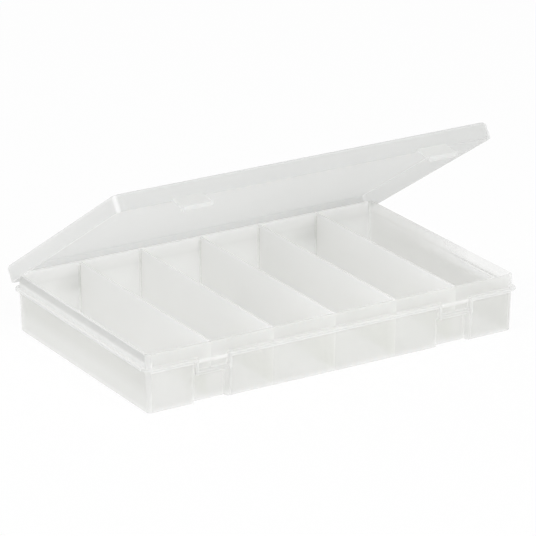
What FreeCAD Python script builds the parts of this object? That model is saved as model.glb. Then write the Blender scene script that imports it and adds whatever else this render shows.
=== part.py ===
import FreeCAD, Part
import math
import os
import re

import Sketcher

# A shallow compartment box: a tray with upright dividers, a hinged lid and two snap latches.
# Millimetres and degrees. The origin is the middle of the tray's underside,
# +X runs to the right along the front, +Y towards the hinge and +Z up.
# The lid and the latches are drawn closed and are then turned about the hinge to their rest angle.

SIZES = {
    # Tray shell, measured on the outside of its upright lip
    "tray_width": 269.4,
    "tray_depth": 166.3,
    "tray_height": 38.9,
    "corner_radius": 3.5,
    "wall_thickness": 1.8,
    "floor_thickness": 2.0,
    "wall_draft": 1.0,
    "base_edge_radius": 1.2,
    "lip_edge_radius": 0.5,
    # Flange that runs round the outside below the lip
    "flange_height": 29.9,
    "flange_thickness": 1.6,
    "flange_overhang": 2.6,
    "flange_edge_radius": 0.4,
    # Places for the latches in the front of the tray
    "latch_margin": 45.75,
    "dip_width": 25.4,
    "dip_depth": 7.6,
    "dip_rail": 1.8,
    "step_thickness": 2.7,
    "step_reach": 1.7,
    "step_ramp": 1.4,
    "step_corner_radius": 1.2,
    "recess_width": 25.8,
    "recess_depth": 4.0,
    "recess_slope": 2.2,
    # Dividers and the guide ribs that hold their ends
    "compartment_count": 6,
    "divider_thickness": 1.5,
    "divider_side_clearance": 0.15,
    "divider_end_clearance": 0.3,
    "divider_edge_radius": 0.35,
    "guide_width": 0.9,
    "guide_depth": 1.2,
    "guide_drop": 2.0,
    # Lid
    "lid_side_clearance": 1.0,
    "lid_wall": 1.4,
    "lid_panel": 1.6,
    "lid_rim_clearance": 0.4,
    "lid_head_clearance": 1.0,
    "lid_edge_radius": 2.5,
    "lid_inner_radius": 0.9,
    "lid_rest_angle": 32.6,
    # Hinges
    "hinge_back": 3.9,
    "hinge_height": 22.0,
    "hinge_margin": 45.75,
    "knuckle_radius": 3.0,
    "lid_knuckle_width": 18.0,
    "tray_knuckle_width": 7.0,
    "knuckle_clearance": 0.35,
    "notch_clearance": 0.5,
    "arm_rise": 2.0,
    "pin_radius": 1.0,
    "pin_clearance": 0.05,
    # Latches, each a flap on a thin web at the foot of the lid's front skirt
    "latch_width": 21.0,
    "latch_thickness": 1.5,
    "latch_inset": 0.35,
    "latch_root_rise": 1.2,
    "latch_web": 0.4,
    "latch_side_clearance": 0.3,
    "latch_rest_angle": 47.0,
    "hook_clearance": 0.3,
    "hook_reach": 1.3,
    "hook_height": 3.0,
    "finger_reach": 1.2,
    "finger_height": 2.0,
    # Length by which a cut runs past the face that it opens
    "overrun": 1.0,
}

QUARTER_TURN = math.pi / 2

# Shares of the sizes that small shapes follow
EMBED_SHARE = "0.1"
RAMP_SHARE = "0.4"
BEVEL_SHARE = "0.2"
HALF_SHARE = "0.5"
MATCH_SHARE = "0.001"

# Places worked out from the driving sizes
DIVIDER_PITCH = "(tray_width / compartment_count)"
LATCH_SPREAD = "(tray_width / 2 - latch_margin)"
HINGE_SPREAD = "(tray_width / 2 - hinge_margin)"
FOOT_DEPTH = "(tray_depth / 2 - wall_draft)"
EMBED_DEPTH = f"({FOOT_DEPTH} - wall_thickness * {EMBED_SHARE})"
INNER_FOOT_DEPTH = f"({FOOT_DEPTH} - wall_thickness)"
INNER_TOP_DEPTH = "(tray_depth / 2 - wall_thickness)"
FLANGE_UNDERSIDE = "(flange_height - flange_thickness)"
DIP_FLOOR = "(flange_height - dip_depth)"
RECESS_TOP = "(flange_height - dip_depth - step_thickness)"
RECESS_FACE = f"({FOOT_DEPTH} - recess_depth)"
BOSS_FACE = f"({RECESS_FACE} - wall_thickness)"
LID_MARGIN = "(lid_side_clearance + lid_wall)"
LID_RIM = "(flange_height + lid_rim_clearance)"
LID_UNDERSIDE = "(tray_height + lid_head_clearance)"
LID_TOP = f"({LID_UNDERSIDE} + lid_panel)"
SKIRT_INSIDE = "(tray_depth / 2 + lid_side_clearance)"
SKIRT_OUTSIDE = f"(tray_depth / 2 + {LID_MARGIN})"
HINGE_DEPTH = "(tray_depth / 2 + hinge_back)"
LATCH_ROOT = f"({LID_RIM} + latch_root_rise)"
LATCH_AXIS_DEPTH = f"({SKIRT_OUTSIDE} - latch_inset * {HALF_SHARE})"
LATCH_AXIS_HEIGHT = f"({LATCH_ROOT} + latch_web * {HALF_SHARE})"
KNUCKLE_START = "(lid_knuckle_width / 2 + knuckle_clearance)"
MATCH_SLACK = f"(overrun * {MATCH_SHARE})"
PIN_LENGTH = f"(2 * ({KNUCKLE_START} + tray_knuckle_width))"

doc = FreeCAD.newDocument("CompartmentBox")
sheet = doc.addObject("Spreadsheet::Sheet", "Sizes")
for row, (name, number) in enumerate(SIZES.items(), start=1):
    sheet.set(f"A{row}", name)
    sheet.set(f"B{row}", str(number))
    sheet.setAlias(f"B{row}", name)
doc.recompute()

ALIASES = re.compile(r"\b(" + "|".join(SIZES) + r")\b")


def bound(text):
    """The expression with each size name pointing at the sheet of sizes."""
    return ALIASES.sub(r"Sizes.\1", text)


def value(text):
    """The number that an expression of size names stands for now."""
    return float(sheet.evalExpression(text))


def new_body(label):
    body = doc.addObject("PartDesign::Body", label)
    body.Label = label
    return body


def origin_plane(body, role):
    return next(plane for plane in body.Origin.OriginFeatures if plane.Role == role)


def new_sketch(body, name, role, offset):
    """A sketch on one of the body's origin planes, moved along the plane's normal."""
    sketch = body.newObject("Sketcher::SketchObject", name)
    sketch.AttachmentSupport = (origin_plane(body, role), [""])
    sketch.MapMode = "FlatFace"
    sketch.setExpression("AttachmentOffset.Base.z", bound(offset))
    return sketch


def drive(sketch, kind, *arguments):
    """A dimension whose last argument is an expression of size names."""
    *elements, text = arguments
    index = sketch.addConstraint(Sketcher.Constraint(kind, *elements, value(text)))
    sketch.setExpression(f"Constraints[{index}]", bound(text))


def outline(body, name, role, offset, points):
    """A closed sketch of straight lines through points given as pairs of expressions."""
    sketch = new_sketch(body, name, role, offset)
    places = [FreeCAD.Vector(value(across), value(along), 0) for across, along in points]
    count = len(places)
    for index in range(count):
        sketch.addGeometry(Part.LineSegment(places[index], places[(index + 1) % count]), False)
    for index in range(count):
        sketch.addConstraint(Sketcher.Constraint("Coincident", index, 2, (index + 1) % count, 1))
    for index, (across, along) in enumerate(points):
        drive(sketch, "DistanceX", -1, 1, index, 1, across)
        drive(sketch, "DistanceY", -1, 1, index, 1, along)
    return sketch


def rounded_rectangle(body, name, height, width, depth, radius):
    """A rectangle with round corners, centred on the vertical axis at a height."""
    sketch = new_sketch(body, name, "XY_Plane", height)
    half_x = value(width) / 2
    half_y = value(depth) / 2
    bend = value(radius)
    corners = [(half_x, -half_y), (half_x, half_y), (-half_x, half_y), (-half_x, -half_y)]
    starts = [(-half_x + bend, -half_y), (half_x, -half_y + bend),
              (half_x - bend, half_y), (-half_x, half_y - bend)]
    ends = [(half_x - bend, -half_y), (half_x, half_y - bend),
            (-half_x + bend, half_y), (-half_x, -half_y + bend)]
    for side in range(4):
        line = Part.LineSegment(FreeCAD.Vector(*starts[side], 0), FreeCAD.Vector(*ends[side], 0))
        sketch.addGeometry(line, False)
        corner_x, corner_y = corners[side]
        centre = FreeCAD.Vector(
            corner_x - bend * (1 if corner_x > 0 else -1),
            corner_y - bend * (1 if corner_y > 0 else -1), 0)
        circle = Part.Circle(centre, FreeCAD.Vector(0, 0, 1), bend)
        sketch.addGeometry(Part.ArcOfCircle(circle, (side - 1) * QUARTER_TURN, side * QUARTER_TURN), False)
    for side in range(4):
        line, arc, following = 2 * side, 2 * side + 1, (2 * side + 2) % 8
        sketch.addConstraint(Sketcher.Constraint("Tangent", line, 2, arc, 1))
        sketch.addConstraint(Sketcher.Constraint("Tangent", arc, 2, following, 1))
        sketch.addConstraint(Sketcher.Constraint("Vertical" if side % 2 else "Horizontal", line))
    for arc in (3, 5, 7):
        sketch.addConstraint(Sketcher.Constraint("Equal", 1, arc))
    sketch.addConstraint(Sketcher.Constraint("Symmetric", 0, 1, 4, 1, -1, 1))
    drive(sketch, "DistanceX", 6, 1, 2, 1, width)
    drive(sketch, "DistanceY", 0, 1, 4, 1, depth)
    drive(sketch, "Radius", 1, radius)
    return sketch


def pad(body, name, sketch, length, midplane=False):
    feature = body.newObject("PartDesign::Pad", name)
    feature.Profile = sketch
    feature.Midplane = midplane
    feature.setExpression("Length", bound(length))
    return feature


def pocket(body, name, sketch, length):
    """A cut that runs from the sketch along its plane's normal."""
    feature = body.newObject("PartDesign::Pocket", name)
    feature.Profile = sketch
    feature.Reversed = True
    feature.setExpression("Length", bound(length))
    return feature


def loft(body, kind, name, first, second):
    feature = body.newObject(f"PartDesign::{kind}", name)
    feature.Profile = first
    feature.Sections = [second]
    feature.Ruled = True
    return feature


def block(body, kind, name, low, high):
    """A box from its lowest to its highest corner, added to the body or cut from it."""
    feature = body.newObject(f"PartDesign::{kind}Box", name)
    for axis, size, start, end in zip("xyz", ("Length", "Width", "Height"), low, high):
        feature.setExpression(f"Placement.Base.{axis}", bound(start))
        feature.setExpression(size, bound(f"({end}) - ({start})"))
    return feature


def rod_along_x(body, kind, name, start, length, across, height, radius):
    """A round bar parallel to the hinge, padded onto the body or pocketed out of it."""
    sketch = new_sketch(body, f"{name}Circle", "YZ_Plane", start)
    centre = FreeCAD.Vector(value(across), value(height), 0)
    circle = Part.Circle(centre, FreeCAD.Vector(0, 0, 1), value(radius))
    sketch.addGeometry(circle, False)
    drive(sketch, "DistanceX", -1, 1, 0, 3, across)
    drive(sketch, "DistanceY", -1, 1, 0, 3, height)
    drive(sketch, "Radius", 0, radius)
    if kind == "Pad":
        return pad(body, name, sketch, length)
    return pocket(body, name, sketch, length)


def round_edges(body, name, radius, chosen):
    """A fillet on the edges of the body so far that a test of the edge picks out."""
    doc.recompute()
    base = body.Tip
    edges = base.Shape.Edges
    names = [f"Edge{index}" for index, edge in enumerate(edges, start=1) if chosen(edge)]
    feature = body.newObject("PartDesign::Fillet", name)
    feature.Base = (base, names)
    feature.setExpression("Radius", bound(radius))
    return feature


def level_edge(height):
    """A test that is true for an edge lying flat at a height."""
    level = value(height)
    slack = value(MATCH_SLACK)
    return lambda edge: all(abs(vertex.Z - level) < slack for vertex in edge.Vertexes)


def outer_level_edge(height, depth):
    """A test that is true for a flat edge at a height that lies beyond a depth or its like in width."""
    flat = level_edge(height)
    reach_y = value(depth)
    reach_x = reach_y + value("(tray_width - tray_depth) / 2")

    def chosen(edge):
        box = edge.BoundBox
        outside_x = max(abs(box.XMin), abs(box.XMax)) > reach_x
        outside_y = max(abs(box.YMin), abs(box.YMax)) > reach_y
        return flat(edge) and (outside_x or outside_y)

    return chosen


def mirrored(body, name, originals):
    """The same features on the left half of the body."""
    feature = body.newObject("PartDesign::Mirrored", name)
    feature.Originals = originals
    feature.MirrorPlane = (origin_plane(body, "YZ_Plane"), [""])
    body.Tip = feature
    return feature


def turn_about(depth, height, angle, start="0"):
    """A placement that swings the front of a piece up about a line along X, and moves it to a start."""
    base = f"vector({start}; 0; 0)"
    turn = f"rotation(vector(1; 0; 0); -{angle})"
    centre = f"vector(0; {depth}; {height})"
    return bound(f"placement({base}; {turn}; {centre})")


def tray_shell(body):
    """Tapered lower walls, upright lip, flange and the hollow inside."""
    foot = rounded_rectangle(
        body, "Foot", "0", "tray_width - 2 * wall_draft", "tray_depth - 2 * wall_draft",
        "corner_radius - wall_draft")
    shoulder = rounded_rectangle(
        body, "Shoulder", "flange_height", "tray_width", "tray_depth", "corner_radius")
    loft(body, "AdditiveLoft", "LowerWalls", foot, shoulder)
    round_edges(body, "BaseEdge", "base_edge_radius", level_edge("0"))
    lip = rounded_rectangle(
        body, "LipOutline", "flange_height", "tray_width", "tray_depth", "corner_radius")
    pad(body, "Lip", lip, "tray_height - flange_height")
    rim = rounded_rectangle(
        body, "FlangeOutline", FLANGE_UNDERSIDE, "tray_width + 2 * flange_overhang",
        "tray_depth + 2 * flange_overhang", "corner_radius + flange_overhang")
    pad(body, "Flange", rim, "flange_thickness")
    round_edges(
        body, "FlangeEdge", "flange_edge_radius",
        outer_level_edge("flange_height", f"tray_depth / 2 + flange_overhang * {HALF_SHARE}"))
    inner_foot = rounded_rectangle(
        body, "InnerFoot", "floor_thickness", "tray_width - 2 * (wall_draft + wall_thickness)",
        "tray_depth - 2 * (wall_draft + wall_thickness)",
        "corner_radius - wall_draft - wall_thickness")
    inner_top = rounded_rectangle(
        body, "InnerTop", "tray_height", "tray_width - 2 * wall_thickness",
        "tray_depth - 2 * wall_thickness", "corner_radius - wall_thickness")
    loft(body, "SubtractiveLoft", "Hollow", inner_foot, inner_top)
    round_edges(body, "LipEdge", "lip_edge_radius", level_edge("tray_height"))


def latch_places(body):
    """A U-shaped step in the front flange with a ramped foot for the hook, and a finger recess under it."""
    half_dip = "dip_width / 2"
    half_recess = "recess_width / 2"
    boss = block(
        body, "Additive", "RecessBoss",
        (f"{LATCH_SPREAD} - {half_recess} - wall_thickness", f"-{EMBED_DEPTH}",
         f"floor_thickness * {HALF_SHARE}"),
        (f"{LATCH_SPREAD} + {half_recess} + wall_thickness", f"-{BOSS_FACE}", DIP_FLOOR))
    gap = block(
        body, "Subtractive", "FlangeGap",
        (f"{LATCH_SPREAD} - {half_dip}", "-(tray_depth / 2 + flange_overhang + overrun)",
         f"{FLANGE_UNDERSIDE} - overrun"),
        (f"{LATCH_SPREAD} + {half_dip}", "-tray_depth / 2", "flange_height + overrun"))
    step = outline(body, "StepOutline", "XZ_Plane", EMBED_DEPTH, [
        (f"{LATCH_SPREAD} - {half_dip}", "flange_height"),
        (f"{LATCH_SPREAD} - {half_dip}", RECESS_TOP),
        (f"{LATCH_SPREAD} + {half_dip}", RECESS_TOP),
        (f"{LATCH_SPREAD} + {half_dip}", "flange_height"),
        (f"{LATCH_SPREAD} + {half_dip} - dip_rail", "flange_height"),
        (f"{LATCH_SPREAD} + {half_dip} - dip_rail", DIP_FLOOR),
        (f"{LATCH_SPREAD} - {half_dip} + dip_rail", DIP_FLOOR),
        (f"{LATCH_SPREAD} - {half_dip} + dip_rail", "flange_height"),
    ])
    rails = pad(body, "StepRails", step, f"tray_depth / 2 + flange_overhang - {EMBED_DEPTH}")
    recess = outline(body, "RecessOutline", "XY_Plane", "-overrun", [
        (f"{LATCH_SPREAD} - {half_recess} - recess_slope", "-(tray_depth / 2 + overrun)"),
        (f"{LATCH_SPREAD} + {half_recess} + recess_slope", "-(tray_depth / 2 + overrun)"),
        (f"{LATCH_SPREAD} + {half_recess}", f"-{FOOT_DEPTH}"),
        (f"{LATCH_SPREAD} + {half_recess} - recess_slope", f"-{RECESS_FACE}"),
        (f"{LATCH_SPREAD} - {half_recess} + recess_slope", f"-{RECESS_FACE}"),
        (f"{LATCH_SPREAD} - {half_recess}", f"-{FOOT_DEPTH}"),
    ])
    hollow = pocket(body, "Recess", recess, f"{RECESS_TOP} + overrun")
    before = "(tray_depth / 2 + flange_overhang + overrun)"
    nose = "(tray_depth / 2 + step_reach)"
    slope = outline(body, "StepSlope", "YZ_Plane", f"{LATCH_SPREAD} - {half_dip} + dip_rail", [
        (f"-{before}", f"{RECESS_TOP} - overrun"),
        (f"-{nose}", f"{RECESS_TOP} - overrun"),
        (f"-{nose}", f"{DIP_FLOOR} - step_ramp"),
        ("-tray_depth / 2", DIP_FLOOR),
        ("-tray_depth / 2", f"{DIP_FLOOR} + overrun"),
        (f"-{before}", f"{DIP_FLOOR} + overrun"),
    ])
    setback = pocket(body, "StepSetback", slope, "dip_width - 2 * dip_rail")
    mirrored(body, "LeftLatchPlace", [boss, gap, rails, hollow, setback])
    round_edges(body, "StepCorners", "step_corner_radius", step_corner)


def step_corner(edge):
    """True for the edges along Y under the outer corners of a U-shaped step."""
    slack = value(MATCH_SLACK)
    ends = edge.Vertexes
    along_y = max(abs(end.X - ends[0].X) + abs(end.Z - ends[0].Z) for end in ends) < slack
    aside = abs(abs(ends[0].X) - value(LATCH_SPREAD))
    away = abs(aside - value("dip_width / 2")) + abs(ends[0].Z - value(RECESS_TOP))
    return along_y and away < slack


def divider_guides(body):
    """Pairs of upright ribs on the front and back walls, one pair for each divider end."""
    first = f"({DIVIDER_PITCH} - tray_width / 2)"
    slot = "(divider_thickness / 2 + divider_side_clearance)"
    inner = f"({INNER_FOOT_DEPTH} - guide_depth)"
    ribs = []
    for end, near, far in (("Front", f"-{EMBED_DEPTH}", f"-{inner}"), ("Back", inner, EMBED_DEPTH)):
        for side, low, high in (
                ("Left", f"{first} - {slot} - guide_width", f"{first} - {slot}"),
                ("Right", f"{first} + {slot}", f"{first} + {slot} + guide_width")):
            ribs.append(block(
                body, "Additive", f"Guide{end}{side}",
                (low, near, f"floor_thickness * {HALF_SHARE}"),
                (high, far, "tray_height - guide_drop")))
    row = body.newObject("PartDesign::LinearPattern", "GuideRow")
    row.Originals = ribs
    row.Direction = (origin_plane(body, "YZ_Plane"), [""])
    row.setExpression("Length", bound(f"{DIVIDER_PITCH} * (compartment_count - 2)"))
    row.setExpression("Occurrences", bound("compartment_count - 1"))
    body.Tip = row


def tray_knuckles(body):
    """Notches in the back flange for the lid's arms, and bored knuckles on webs beside them."""
    half_notch = "(lid_knuckle_width / 2 + notch_clearance)"
    notch = block(
        body, "Subtractive", "HingeNotch",
        (f"{HINGE_SPREAD} - {half_notch}", "tray_depth / 2", f"{FLANGE_UNDERSIDE} - overrun"),
        (f"{HINGE_SPREAD} + {half_notch}", "tray_depth / 2 + flange_overhang + overrun",
         "flange_height + overrun"))
    features = [notch]
    starts = {
        "Inner": f"{HINGE_SPREAD} - {KNUCKLE_START} - tray_knuckle_width",
        "Outer": f"{HINGE_SPREAD} + {KNUCKLE_START}",
    }
    for side, start in starts.items():
        features.append(block(
            body, "Additive", f"{side}Web",
            (start, EMBED_DEPTH, "hinge_height - knuckle_radius"),
            (f"{start} + tray_knuckle_width", HINGE_DEPTH, "hinge_height + knuckle_radius")))
        features.append(rod_along_x(
            body, "Pad", f"{side}Knuckle", start, "tray_knuckle_width",
            HINGE_DEPTH, "hinge_height", "knuckle_radius"))
        features.append(rod_along_x(
            body, "Pocket", f"{side}Bore", start, "tray_knuckle_width", HINGE_DEPTH, "hinge_height",
            "pin_radius"))
    mirrored(body, "LeftHinge", features)


def build_tray():
    body = new_body("tray")
    tray_shell(body)
    divider_guides(body)
    latch_places(body)
    tray_knuckles(body)
    return body


def build_divider(number, over_recess):
    """An upright plate between two pairs of guides, notched where a latch recess is in its way."""
    body = new_body(f"divider_{number}")
    foot = f"({INNER_FOOT_DEPTH} - divider_end_clearance)"
    top = f"({INNER_TOP_DEPTH} - divider_end_clearance)"
    points = [(foot, "floor_thickness"), (top, "tray_height"), (f"-{top}", "tray_height")]
    if over_recess:
        notch_top = f"({DIP_FLOOR} + divider_end_clearance)"
        notch_face = f"-({BOSS_FACE} - divider_end_clearance)"
        rise_share = f"(({notch_top} - floor_thickness) / (tray_height - floor_thickness))"
        points += [
            (f"-({foot} + ({top} - {foot}) * {rise_share})", notch_top),
            (notch_face, notch_top),
            (notch_face, "floor_thickness"),
        ]
    else:
        points.append((f"-{foot}", "floor_thickness"))
    side = outline(body, "Side", "YZ_Plane", "0", points)
    pad(body, "Plate", side, "divider_thickness", midplane=True)
    round_edges(body, "TopEdge", "divider_edge_radius", long_top_edge)
    body.setExpression("Placement.Base.x", bound(f"{DIVIDER_PITCH} * {number} - tray_width / 2"))
    return body


def long_top_edge(edge):
    return level_edge("tray_height")(edge) and edge.Length > value("divider_thickness") * 2


def lid_shell(body):
    """A shallow cap with rounded top edges over the tray's lip."""
    rim = rounded_rectangle(
        body, "LidOutline", LID_RIM, f"tray_width + 2 * {LID_MARGIN}", f"tray_depth + 2 * {LID_MARGIN}",
        f"corner_radius + {LID_MARGIN}")
    pad(body, "Cap", rim, f"{LID_TOP} - {LID_RIM}")
    round_edges(body, "CapEdge", "lid_edge_radius", level_edge(LID_TOP))
    inside = rounded_rectangle(
        body, "LidInside", LID_RIM, "tray_width + 2 * lid_side_clearance",
        "tray_depth + 2 * lid_side_clearance", "corner_radius + lid_side_clearance")
    pocket(body, "CapHollow", inside, f"{LID_UNDERSIDE} - {LID_RIM}")
    round_edges(body, "CapInnerEdge", "lid_inner_radius", level_edge(LID_UNDERSIDE))


def lid_fittings(body):
    """Gaps in the front skirt for the latches, and arms with bored knuckles at the back."""
    half_gap = "(latch_width / 2 + latch_side_clearance)"
    gap = block(
        body, "Subtractive", "LatchGap",
        (f"{LATCH_SPREAD} - {half_gap}", f"-({SKIRT_OUTSIDE} + overrun)", f"{LID_RIM} - overrun"),
        (f"{LATCH_SPREAD} + {half_gap}", f"-({SKIRT_INSIDE} - overrun)",
         f"{LATCH_ROOT} + latch_web"))
    start = f"{HINGE_SPREAD} - lid_knuckle_width / 2"
    arm = block(
        body, "Additive", "Arm",
        (start, SKIRT_INSIDE, "hinge_height"),
        (f"{start} + lid_knuckle_width", HINGE_DEPTH, f"{LID_RIM} + arm_rise"))
    knuckle = rod_along_x(
        body, "Pad", "Knuckle", start, "lid_knuckle_width", HINGE_DEPTH, "hinge_height",
        "knuckle_radius")
    bore = rod_along_x(
        body, "Pocket", "Bore", f"{start} - overrun", "lid_knuckle_width + 2 * overrun", HINGE_DEPTH,
        "hinge_height", "pin_radius + pin_clearance")
    mirrored(body, "LeftFittings", [gap, arm, knuckle, bore])


def build_lid():
    body = new_body("lid")
    lid_shell(body)
    lid_fittings(body)
    body.setExpression("Placement", turn_about(HINGE_DEPTH, "hinge_height", "lid_rest_angle"))
    return body


def build_latch(label, start):
    """A flap under the lid's front skirt, with a hook inside and a finger edge outside."""
    body = new_body(label)
    inside = f"({SKIRT_OUTSIDE} - latch_inset)"
    outside = f"({inside} + latch_thickness)"
    hook_top = f"({RECESS_TOP} - hook_clearance)"
    foot = f"({hook_top} - hook_height)"
    profile = outline(body, "Profile", "YZ_Plane", "0", [
        (f"-{inside}", LATCH_ROOT),
        (f"-({inside} + latch_thickness * {BEVEL_SHARE})", LATCH_ROOT),
        (f"-{outside}", f"{LATCH_ROOT} - latch_thickness * (1 - {BEVEL_SHARE})"),
        (f"-{outside}", f"{foot} + finger_height"),
        (f"-({outside} + finger_reach)", f"{foot} + finger_height * {RAMP_SHARE}"),
        (f"-({outside} + finger_reach)", foot),
        (f"-{inside}", foot),
        (f"-({inside} - hook_reach)", f"{foot} + hook_height * {RAMP_SHARE}"),
        (f"-({inside} - hook_reach)", hook_top),
        (f"-{inside}", hook_top),
    ])
    pad(body, "Flap", profile, "latch_width", midplane=True)
    with_lid = turn_about(HINGE_DEPTH, "hinge_height", "lid_rest_angle", start)
    swung_open = turn_about(f"-{LATCH_AXIS_DEPTH}", LATCH_AXIS_HEIGHT, "latch_rest_angle")
    body.setExpression("Placement", f"{with_lid} * {swung_open}")
    return body


def build_hinge_pin(label, middle):
    pin = doc.addObject("Part::Cylinder", label)
    pin.Label = label
    pin.setExpression("Radius", bound("pin_radius"))
    pin.setExpression("Height", bound(PIN_LENGTH))
    start = bound(f"vector({middle} - {PIN_LENGTH} / 2; {HINGE_DEPTH}; hinge_height)")
    pin.setExpression("Placement", f"placement({start}; rotation(vector(0; 1; 0); 90))")
    return pin


divider_count = int(SIZES["compartment_count"]) - 1
pieces = [build_tray()]
pieces += [build_divider(number, number in (1, divider_count)) for number in range(1, divider_count + 1)]
pieces.append(build_lid())
pieces.append(build_latch("latch_left", f"-{LATCH_SPREAD}"))
pieces.append(build_latch("latch_right", LATCH_SPREAD))
pieces.append(build_hinge_pin("hinge_pin_left", f"-{HINGE_SPREAD}"))
pieces.append(build_hinge_pin("hinge_pin_right", HINGE_SPREAD))
doc.recompute()

faults = [item.Name for item in doc.Objects if {"Invalid", "Error"} & set(item.State)]
faults += [piece.Label for piece in pieces if piece.Shape.isNull() or not piece.Shape.isValid()]
if faults:
    raise RuntimeError("not built: " + ", ".join(faults))

os.makedirs("parts", exist_ok=True)
for piece in pieces:
    piece.Shape.exportStep(f"parts/{piece.Label}.step")
    box = piece.Shape.BoundBox
    print(piece.Label, len(piece.Shape.Solids), "solid", round(piece.Shape.Volume), "mm3",
          [round(edge, 2) for edge in (box.XMin, box.YMin, box.ZMin, box.XMax, box.YMax, box.ZMax)])
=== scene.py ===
import math

import bmesh
import bpy
from mathutils import Matrix, Vector


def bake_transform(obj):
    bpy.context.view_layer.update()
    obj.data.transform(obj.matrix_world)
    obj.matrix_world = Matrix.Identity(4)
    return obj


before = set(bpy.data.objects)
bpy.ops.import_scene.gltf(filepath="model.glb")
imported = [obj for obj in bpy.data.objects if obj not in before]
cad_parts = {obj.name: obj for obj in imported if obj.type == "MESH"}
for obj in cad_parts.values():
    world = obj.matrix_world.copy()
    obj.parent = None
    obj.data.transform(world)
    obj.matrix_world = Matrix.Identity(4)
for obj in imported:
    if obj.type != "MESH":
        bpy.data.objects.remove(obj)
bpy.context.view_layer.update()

WHITE = (1, 1, 1, 1)

# Camera: a long lens in front of the box, to its left and above it
AZIMUTH = math.radians(-31.553)
ELEVATION = math.radians(20.413)
TARGET = Vector((0.01905, 0.02807, 0.0300))
DISTANCE = 2.3266
VIEW_DEPTH = 20.0
IMAGE_PIXELS = 536
FOCAL_PIXELS = 3597.3
SENSOR_MM = 36.0

# Square lamps that point at the middle of the floor: place and watts
LAMPS = {"left": ((-1.2, -0.3, 2.6), 23),
         "front": ((0.3, -2.4, 1.6), 24)}
LAMP_SIZE = 1.6

# Soft light: the side that it comes from, and its strength there
SOFT_LIGHT = [
    ((0, 0, 1), 0.25),
    ((0, -1, 0), 0.85),
    ((0, 1, 0), 0.7),
    ((-1, 0, 0), 0.27),
    ((1, 0, 0), 0.2),
]

# Floor: its size, how far it lies below the box, its tint, and the share that is seen as plain white
FLOOR_SPAN = 6.0
FLOOR_DROP = 0.0002
FLOOR_TINT = (0.95, 0.95, 0.95, 1)
FLOOR_WHITE_SHARE = 0.92

# Light paths: enough for all the clear walls that lie behind each other
LAYER_BOUNCES = 32
DIFFUSE_BOUNCES = 16

HALF_LENGTH = 0.137

# Hinge line of the lid, and how far it stands open
HINGE = Vector((0, 0.08705, 0.022))
LID_OPEN = math.radians(32.6)

# Latch webs: middle of each web, angle of the latch from the skirt, and the web's own sizes
WEB_MIDDLES = {"latch_left": Vector((-0.08895, -0.052984, 0.123069)),
               "latch_right": Vector((0.08895, -0.052984, 0.123069))}
LATCH_OPEN = math.radians(47.0)
WEB_WIDTH = 0.0208
WEB_HALF = 0.0008
WEB_THICKNESS = 0.0003
WEB_BEND = 0.00035
WEB_BEND_STEPS = 4

# Plastic: its refractive index, and the patches, waves and clouds in it as scale and detail of a noise
PLASTIC_IOR = 1.49
ROUGH_PATCHES = (60.0, 2.0)
ROUGH_SPREAD = 0.04
WAVES = (18.0, 1.0)
WAVE_STRENGTH = 0.08
WAVE_HEIGHT = 0.0006
CLOUDS = (22.0, 3.0)
# Share of the clouds against the painted shade that deepens towards the right end
CLOUD_SHARE = 0.35

# Edges: agreement of the bevelled and the true normal at which an edge starts and is full,
# the tints of an edge painted light as a highlight and of a dense edge, and an edge's cover and passed share
EDGE_START, EDGE_FULL = 0.999, 0.96
EDGE_SAMPLES = 6
PAINTED_EDGE_LIGHT = (0.965, 0.968, 0.968)
DENSE_RIM = (0.88, 0.885, 0.885)
EDGE_LOOK = (0.48, 0.55)

# The side that a zone lies to: the axis, and its sign or 0 for both ways
SIDES = {"left": ("X", -1), "right": ("X", 1), "ends": ("X", 0),
         "front": ("Y", -1), "back": ("Y", 1), "faces": ("Y", 0),
         "down": ("Z", -1), "up": ("Z", 1)}

# Limits of a zone: its side, and the distances from the box's origin at which it begins and is full.
# A negative distance lies past the origin, on the other side of it.
END_WALLS = ("ends", 0.1308, 0.1314)
LEFT_WALL = ("left", 0.1308, 0.1314)
RIGHT_WALL = ("right", 0.1308, 0.1314)
FRONT_WALL = ("front", 0.0798, 0.0804)
BACK_WALL = ("back", 0.0798, 0.0804)
BACK_RIBS = ("back", 0.0784, 0.0789)
RIGHT_FLANGE = ("right", 0.1352, 0.1358)
FRONT_FLANGE = ("front", 0.0836, 0.0842)
LEFT_SKIRT = ("left", 0.1340, 0.1352)
RIGHT_SKIRT = ("right", 0.1340, 0.1352)
FRONT_SKIRT = ("front", 0.0836, 0.0842)

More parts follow.
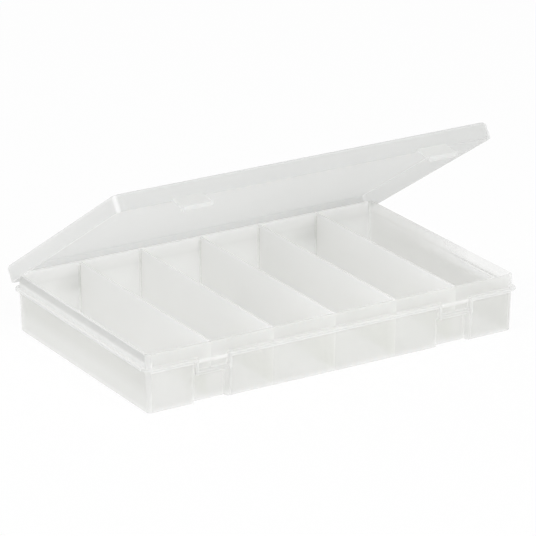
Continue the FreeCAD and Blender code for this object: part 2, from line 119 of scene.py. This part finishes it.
# Zones of each moulding: the limits that bound it, its tint, its cover and its passed share.
# A later zone lies over the ones before it.
TRAY_ZONES = [
    # End walls, painted darker as shade; clear ribs at the back; the back wall and its lip, painted lighter
    # against the shade of the lid above them
    ([END_WALLS], (0.905, 0.908, 0.893), 0.5, 0.66),
    ([BACK_RIBS], (0.985, 0.985, 0.98), 0.08, 0.66),
    ([BACK_WALL], (0.955, 0.957, 0.95), 0.72, 0.5),
    ([BACK_WALL, ("up", 0.030, 0.0375)], (0.998, 0.998, 0.996), 0.93, 0.4),
    # Left wall: its foot, painted lighter as if lit by the floor; its flange with the lip, painted lighter
    # as if lit from above; and a band in the lip, painted darker as shade
    ([LEFT_WALL, ("down", -0.018, -0.010)], (0.98, 0.983, 0.975), 0.5, 0.66),
    ([LEFT_WALL, ("up", 0.0280, 0.0290)], (0.985, 0.988, 0.985), 0.75, 0.45),
    ([LEFT_WALL, ("up", 0.0325, 0.0342), ("down", -0.0387, -0.0380)], (0.80, 0.805, 0.80), 0.55, 0.66),
    # Right wall: the whole of it, painted darker as shade; its upper part, painted less dark; the front of
    # that part, made clear so that it shows bright in place of a highlight; and its flange
    ([RIGHT_WALL], (0.84, 0.843, 0.825), 0.6, 0.66),
    ([RIGHT_WALL, ("up", 0.024, 0.037)], (0.905, 0.907, 0.895), 0.5, 0.66),
    ([RIGHT_WALL, ("up", 0.024, 0.034), ("front", -0.03, 0.035)], (0.98, 0.98, 0.98), 0.06, 0.66),
    ([RIGHT_FLANGE], (0.96, 0.963, 0.96), 0.15, 0.66),
    # Front wall: its lip, the strip under its flange, painted lighter to cancel the flange's shadow, and the
    # flange
    ([FRONT_WALL, ("up", 0.030, 0.0385)], (0.985, 0.986, 0.984), 0.38, 0.66),
    ([FRONT_WALL, ("up", 0.0260, 0.0270), ("down", -0.0290, -0.0284)], (0.99, 0.99, 0.988), 0.6, 0.35),
    ([FRONT_FLANGE], (0.95, 0.953, 0.95), 0.44, 0.57),
    # The four upright corners, painted bright as a highlight down each corner
    ([("ends", 0.1316, 0.1324), ("faces", 0.08005, 0.08085)], PAINTED_EDGE_LIGHT, *EDGE_LOOK),
]
DIVIDER_ZONES = [
    # The upper part, painted lighter as if lit from above; the lower front, painted darker as shade; and the
    # back end
    ([("up", 0.022, 0.0385)], (0.987, 0.988, 0.986), 0.69, 0.82),
    ([("front", 0.02, 0.08), ("down", -0.030, -0.010)], (0.93, 0.935, 0.905), 0.66, 0.82),
    ([("back", 0.074, 0.079)], (0.98, 0.98, 0.976), 0.70, 0.83),
]
LID_ZONES = [
    # The skirt's sides, painted lighter against their shade, and its front, painted darker against the light
    # on it; the inner edge of its right side, painted lighter; and its front left corner, painted bright as
    # a highlight
    ([LEFT_SKIRT], (0.995, 0.997, 0.995), 0.55, 0.49),
    ([RIGHT_SKIRT], (0.91, 0.915, 0.91), 0.55, 0.49),
    ([FRONT_SKIRT], (0.835, 0.839, 0.835), 0.55, 0.49),
    ([("right", 0.1335, 0.1342), ("left", -0.1358, -0.1352)], (0.965, 0.968, 0.965), 0.65, 0.4),
    ([("left", 0.1336, 0.1350), ("front", 0.08205, 0.0834)], (0.99, 0.992, 0.992), 0.8, 0.2),
]

# Dividers' pitch along the box, and the share of it from which the front wall is painted lighter up to each
# one, standing in for light from the divider's end seen through the wall
DIVIDER_PITCH = 0.0449
PAINTED_DIVIDER_LIGHT_START = 0.84
PAINTED_DIVIDER_LIGHT_LOOK = ((0.995, 0.995, 0.993), 0.36, 0.63)


def make_camera():
    data = bpy.data.cameras.new("camera")
    data.sensor_width = SENSOR_MM
    data.lens = FOCAL_PIXELS / IMAGE_PIXELS * SENSOR_MM
    data.clip_end = VIEW_DEPTH
    camera = bpy.data.objects.new("camera", data)
    bpy.context.scene.collection.objects.link(camera)
    towards = Vector((
        math.sin(AZIMUTH) * math.cos(ELEVATION),
        -math.cos(AZIMUTH) * math.cos(ELEVATION),
        math.sin(ELEVATION)))
    camera.location = TARGET + towards * DISTANCE
    camera.rotation_euler = towards.to_track_quat("Z", "Y").to_euler()
    bpy.context.scene.camera = camera


def make_lamp(name, place, watts):
    data = bpy.data.lights.new(name, "AREA")
    data.shape = "SQUARE"
    data.size = LAMP_SIZE
    data.energy = watts
    lamp = bpy.data.objects.new(name, data)
    bpy.context.scene.collection.objects.link(lamp)
    lamp.location = place
    lamp.rotation_euler = Vector(place).to_track_quat("Z", "Y").to_euler()


def linked(nodes, links, kind, inputs=(), **settings):
    """A new node with its settings, and inputs given as pairs of socket and value or source."""
    node = nodes.new(kind)
    for name, choice in settings.items():
        setattr(node, name, choice)
    for socket, source in inputs:
        if isinstance(source, bpy.types.NodeSocket):
            links.new(source, node.inputs[socket])
        else:
            node.inputs[socket].default_value = source
    return node


def maths(nodes, links, operation, *numbers):
    """The result of one operation on numbers or sources of numbers."""
    return linked(nodes, links, "ShaderNodeMath", enumerate(numbers), operation=operation).outputs[0]


def ranged(nodes, links, source, low, high):
    """A number between low and high as the source goes from 0 to 1."""
    return linked(nodes, links, "ShaderNodeMapRange",
                  [("Value", source), ("To Min", low), ("To Max", high)]).outputs[0]


def rising(nodes, links, source, start, full):
    """0 up to the start and 1 from where the source is at full."""
    return linked(nodes, links, "ShaderNodeMapRange",
                  [("Value", source), ("From Min", start), ("From Max", full)]).outputs[0]


def shown_directly(nodes, links):
    """1 for rays from the camera and for rays that glossy or clear surfaces pass on."""
    path = nodes.new("ShaderNodeLightPath")
    total = path.outputs["Is Camera Ray"]
    for name in ("Is Glossy Ray", "Is Transmission Ray"):
        total = maths(nodes, links, "MAXIMUM", total, path.outputs[name])
    return total


def soft_strength(nodes, links):
    """The soft light's strength by the way it comes from: all its sides together."""
    aim = nodes.new("ShaderNodeTexCoord").outputs["Generated"]
    lobes = []
    for side, strength in SOFT_LIGHT:
        facing = linked(nodes, links, "ShaderNodeVectorMath", [(0, aim), (1, side)], operation="DOT_PRODUCT")
        lobes.append(ranged(nodes, links, facing.outputs["Value"], 0.0, strength))
    total = lobes[0]
    for lobe in lobes[1:]:
        total = maths(nodes, links, "ADD", total, lobe)
    return total


def make_world():
    """Soft light from each side by its own strength, and plain white where the world itself is seen."""
    world = bpy.data.worlds.new("studio")
    bpy.context.scene.world = world
    world.use_nodes = True
    nodes, links = world.node_tree.nodes, world.node_tree.links
    soft = nodes["Background"]
    soft.inputs["Color"].default_value = WHITE
    links.new(soft_strength(nodes, links), soft.inputs["Strength"])
    seen = linked(nodes, links, "ShaderNodeBackground", [("Color", WHITE), ("Strength", 1.0)])
    mix = linked(nodes, links, "ShaderNodeMixShader",
                 [(0, shown_directly(nodes, links)), (1, soft.outputs[0]), (2, seen.outputs[0])])
    links.new(mix.outputs[0], nodes["World Output"].inputs["Surface"])


def floor_paint():
    """Matt and pale, and mostly plain white where it is seen directly, with some of the shadow left."""
    material = bpy.data.materials.new("white_sweep")
    material.use_nodes = True
    nodes, links = material.node_tree.nodes, material.node_tree.links
    nodes.remove(nodes["Principled BSDF"])
    matt = linked(nodes, links, "ShaderNodeBsdfDiffuse", [("Color", FLOOR_TINT)])
    glow = linked(nodes, links, "ShaderNodeEmission", [("Strength", 1.0)])
    share = maths(nodes, links, "MULTIPLY", shown_directly(nodes, links), FLOOR_WHITE_SHARE)
    mix = linked(nodes, links, "ShaderNodeMixShader",
                 [(0, share), (1, matt.outputs[0]), (2, glow.outputs[0])])
    links.new(mix.outputs[0], nodes["Material Output"].inputs["Surface"])
    return material


def make_floor():
    bpy.ops.object.select_all(action="DESELECT")
    bpy.ops.mesh.primitive_plane_add(size=FLOOR_SPAN, location=(0, 0, -FLOOR_DROP))
    floor = bpy.context.object
    floor.name = "floor"
    floor.data.materials.append(floor_paint())


def edge_mask(nodes, links, reach):
    """0 on flat faces and 1 along edges, where the bevelled normal leaves the true one."""
    bevel = linked(nodes, links, "ShaderNodeBevel", [("Radius", reach)], samples=EDGE_SAMPLES)
    plain = nodes.new("ShaderNodeNewGeometry")
    dot = linked(nodes, links, "ShaderNodeVectorMath",
                 [(0, bevel.outputs[0]), (1, plain.outputs["Normal"])], operation="DOT_PRODUCT")
    return rising(nodes, links, dot.outputs["Value"], EDGE_START, EDGE_FULL)


def noise(nodes, links, scale, detail):
    place = nodes.new("ShaderNodeTexCoord")
    cloud = linked(nodes, links, "ShaderNodeTexNoise",
                   [("Vector", place.outputs["Object"]), ("Scale", scale), ("Detail", detail)])
    return cloud.outputs["Fac"]


def blended(nodes, links, share, first, second):
    """A colour between two colours."""
    mix = linked(nodes, links, "ShaderNodeMix", [(0, share), (6, first), (7, second)], data_type="RGBA")
    return mix.outputs[2]


def between(nodes, links, share, first, second):
    """A number between two numbers."""
    return linked(nodes, links, "ShaderNodeMix", [(0, share), (2, first), (3, second)]).outputs[0]


def closed_place(nodes, links, opened):
    """The point on the piece, swung back about the hinge by the angle that the piece stands open."""
    place = nodes.new("ShaderNodeTexCoord").outputs["Object"]
    shift = HINGE - Matrix.Rotation(opened, 3, "X") @ HINGE
    turned = linked(nodes, links, "ShaderNodeMapping",
                    [("Vector", place), ("Location", shift), ("Rotation", (opened, 0, 0))])
    return turned.outputs[0]


def beyond(nodes, links, place, side, start, full):
    """0 up to the start on a side of the box, and 1 from where the zone is full."""
    axis, sign = SIDES[side]
    distance = linked(nodes, links, "ShaderNodeSeparateXYZ", [(0, place)]).outputs[axis]
    if sign == 0:
        distance = maths(nodes, links, "ABSOLUTE", distance)
    if sign < 0:
        start, full = -start, -full
    return rising(nodes, links, distance, start, full)


def zone_mask(nodes, links, place, limits):
    """1 in the zone that lies inside all its limits."""
    mask = beyond(nodes, links, place, *limits[0])
    for limit in limits[1:]:
        mask = maths(nodes, links, "MULTIPLY", mask, beyond(nodes, links, place, *limit))
    return mask


def painted_divider_light_mask(nodes, links, place):
    """Painted light on the front wall: rises along it up to each divider, and drops to 0 there."""
    along = linked(nodes, links, "ShaderNodeSeparateXYZ", [(0, place)]).outputs["X"]
    pitches = maths(nodes, links, "DIVIDE", along, DIVIDER_PITCH)
    share = maths(nodes, links, "FRACT", pitches)
    rise = rising(nodes, links, share, PAINTED_DIVIDER_LIGHT_START, 1.0)
    return maths(nodes, links, "MULTIPLY", rise, beyond(nodes, links, place, *FRONT_WALL))


def changed(nodes, links, look, mask, zone_look):
    """Tint, cover and passed share, turned to those of a zone where its mask is 1."""
    tint = blended(nodes, links, mask, look[0], (*zone_look[0], 1))
    shares = [between(nodes, links, mask, plain, zoned) for plain, zoned in zip(look[1:], zone_look[1:])]
    return [tint, *shares]


def painted_shade_and_clouds(nodes, links):
    """How far the tint has turned towards the cloud colour: painted shade that deepens towards the right
    end, mixed with soft uneven cloudy patches.
    """
    place = nodes.new("ShaderNodeTexCoord").outputs["Object"]
    along = beyond(nodes, links, place, "right", -HALF_LENGTH, HALF_LENGTH)
    return between(nodes, links, CLOUD_SHARE, along, noise(nodes, links, *CLOUDS))


def look_by_place(nodes, links, tint, cloud, cover, passed, rim, reach, zones=(), opened=0.0, guides=False):
    """Tint, cover and passed share over a piece: its painted shade towards the right end with its clouds,
    then its edges, the painted light up to each divider, and its zones over that.
    """
    look = [blended(nodes, links, painted_shade_and_clouds(nodes, links), (*tint, 1), (*cloud, 1)), cover, passed]
    place = closed_place(nodes, links, opened)
    # Edges take the rim's look: the light rim paints a highlight along each edge
    look = changed(nodes, links, look, edge_mask(nodes, links, reach), (rim, *EDGE_LOOK))
    if guides:
        look = changed(nodes, links, look, painted_divider_light_mask(nodes, links, place), PAINTED_DIVIDER_LIGHT_LOOK)
    for limits, *zone_look in zones:
        look = changed(nodes, links, look, zone_mask(nodes, links, place, limits), zone_look)
    return look


def moulded_surface(nodes, links, colour, rough):
    """The reflecting share: uneven in roughness, and slightly wavy."""
    shader = nodes["Principled BSDF"]
    shader.inputs["IOR"].default_value = PLASTIC_IOR
    links.new(colour, shader.inputs["Base Color"])
    patches = noise(nodes, links, *ROUGH_PATCHES)
    links.new(ranged(nodes, links, patches, rough - ROUGH_SPREAD, rough + ROUGH_SPREAD),
              shader.inputs["Roughness"])
    bump = linked(nodes, links, "ShaderNodeBump",
                  [("Height", noise(nodes, links, *WAVES)), ("Strength", WAVE_STRENGTH),
                   ("Distance", WAVE_HEIGHT)])
    links.new(bump.outputs[0], shader.inputs["Normal"])
    return shader.outputs[0]


def polypropylene(name, through, rough, **look):
    """Milky plastic: part clear, part reflecting and part passing light on, by place on the piece."""
    material = bpy.data.materials.new(name)
    material.use_nodes = True
    nodes, links = material.node_tree.nodes, material.node_tree.links
    colour, cover, passed = look_by_place(nodes, links, **look)
    surface = moulded_surface(nodes, links, colour, rough)
    glow = linked(nodes, links, "ShaderNodeBsdfTranslucent", [("Color", colour)])
    milk = linked(nodes, links, "ShaderNodeMixShader", [(0, passed), (1, surface), (2, glow.outputs[0])])
    clear = linked(nodes, links, "ShaderNodeBsdfTransparent", [("Color", (*through, 1))])
    whole = linked(nodes, links, "ShaderNodeMixShader",
                   [(0, cover), (1, clear.outputs[0]), (2, milk.outputs[0])])
    links.new(whole.outputs[0], nodes["Material Output"].inputs["Surface"])
    return material


def choose(piece, test):
    """Leaves only the vertices that pass the test selected, and their edges and faces with them."""
    mesh = bmesh.from_edit_mesh(piece.data)
    for vertex in mesh.verts:
        vertex.select_set(test(vertex.co))
    mesh.select_flush(True)
    mesh.select_flush(False)
    bmesh.update_edit_mesh(piece.data)


def latch_web(latch, material):
    """The thin strip that a latch bends on: from the skirt's foot round to the latch's root."""
    middle = WEB_MIDDLES[latch]
    up_skirt = Vector((0, math.sin(LID_OPEN), math.cos(LID_OPEN)))
    turn = LID_OPEN + LATCH_OPEN
    down_latch = Vector((0, -math.sin(turn), -math.cos(turn)))
    near = WEB_HALF / 10
    bpy.ops.object.select_all(action="DESELECT")
    bpy.ops.mesh.primitive_plane_add(
        size=1, location=middle + up_skirt * WEB_HALF / 2, rotation=(math.pi / 2 - LID_OPEN, 0, 0))
    web = bpy.context.object
    web.name = latch + "_web"
    web.scale = (WEB_WIDTH, WEB_HALF, 1)
    bpy.ops.object.transform_apply(location=True, rotation=True, scale=True)
    bpy.ops.object.mode_set(mode="EDIT")
    bpy.ops.mesh.select_mode(type="EDGE")
    choose(web, lambda place: (place - middle).dot(up_skirt) < WEB_HALF / 2)
    bpy.ops.mesh.extrude_edges_move(TRANSFORM_OT_translate={"value": down_latch * WEB_HALF})
    choose(web, lambda place: abs((place - middle).dot(up_skirt)) < near
           and abs((place - middle).dot(down_latch)) < near)
    bpy.ops.mesh.bevel(offset=WEB_BEND, segments=WEB_BEND_STEPS)
    bpy.ops.mesh.select_all(action="SELECT")
    bpy.ops.mesh.normals_make_consistent(inside=False)
    bpy.ops.object.mode_set(mode="OBJECT")
    thicken = web.modifiers.new("thicken", "SOLIDIFY")
    thicken.thickness = WEB_THICKNESS
    thicken.offset = 0
    bpy.ops.object.modifier_apply(modifier=thicken.name)
    bpy.ops.object.shade_smooth_by_angle()
    web.data.materials.append(material)
    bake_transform(web)


def dress(names, material):
    for name in names:
        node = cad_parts[name]
        node.data.materials.clear()
        node.data.materials.append(material)


make_camera()
for lamp_name, (lamp_place, lamp_watts) in LAMPS.items():
    make_lamp(lamp_name, lamp_place, lamp_watts)
make_world()
make_floor()

# Each cloud colour is also the tint that the painted shade deepens to towards the right end
tray_plastic = polypropylene(
    "tray_plastic", through=(0.985, 0.985, 0.98), rough=0.36,
    tint=(0.985, 0.985, 0.981), cloud=(0.945, 0.947, 0.937), cover=0.30, passed=0.66,
    rim=PAINTED_EDGE_LIGHT, reach=0.0022, zones=TRAY_ZONES, guides=True)
divider_plastic = polypropylene(
    "divider_plastic", through=(0.996, 0.996, 0.994), rough=0.36,
    tint=(0.998, 0.998, 0.995), cloud=(0.95, 0.951, 0.942), cover=0.70, passed=0.83,
    rim=PAINTED_EDGE_LIGHT, reach=0.0014, zones=DIVIDER_ZONES)
lid_plastic = polypropylene(
    "lid_plastic", through=(0.985, 0.987, 0.983), rough=0.34,
    tint=(0.875, 0.877, 0.874), cloud=(0.80, 0.805, 0.797), cover=0.55, passed=0.49,
    rim=DENSE_RIM, reach=0.001, zones=LID_ZONES, opened=LID_OPEN)
latch_plastic = polypropylene(
    "latch_plastic", through=(0.985, 0.987, 0.983), rough=0.34,
    tint=(0.97, 0.973, 0.967), cloud=(0.945, 0.95, 0.94), cover=0.5, passed=0.62,
    rim=PAINTED_EDGE_LIGHT, reach=0.001)
pin_plastic = polypropylene(
    "pin_plastic", through=(0.996, 0.996, 0.994), rough=0.36,
    tint=(0.985, 0.985, 0.978), cloud=(0.945, 0.947, 0.933), cover=0.4, passed=0.66,
    rim=PAINTED_EDGE_LIGHT, reach=0.001)

dress(["tray"], tray_plastic)
dress([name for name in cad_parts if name.startswith("divider")], divider_plastic)
dress(["lid"], lid_plastic)
dress(WEB_MIDDLES, latch_plastic)
dress([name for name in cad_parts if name.startswith("hinge_pin")], pin_plastic)
for latch_name in WEB_MIDDLES:
    latch_web(latch_name, latch_plastic)

bpy.context.scene.view_settings.view_transform = "Standard"
paths = bpy.context.scene.cycles
paths.max_bounces = LAYER_BOUNCES
paths.diffuse_bounces = DIFFUSE_BOUNCES
paths.transmission_bounces = LAYER_BOUNCES
paths.transparent_max_bounces = LAYER_BOUNCES
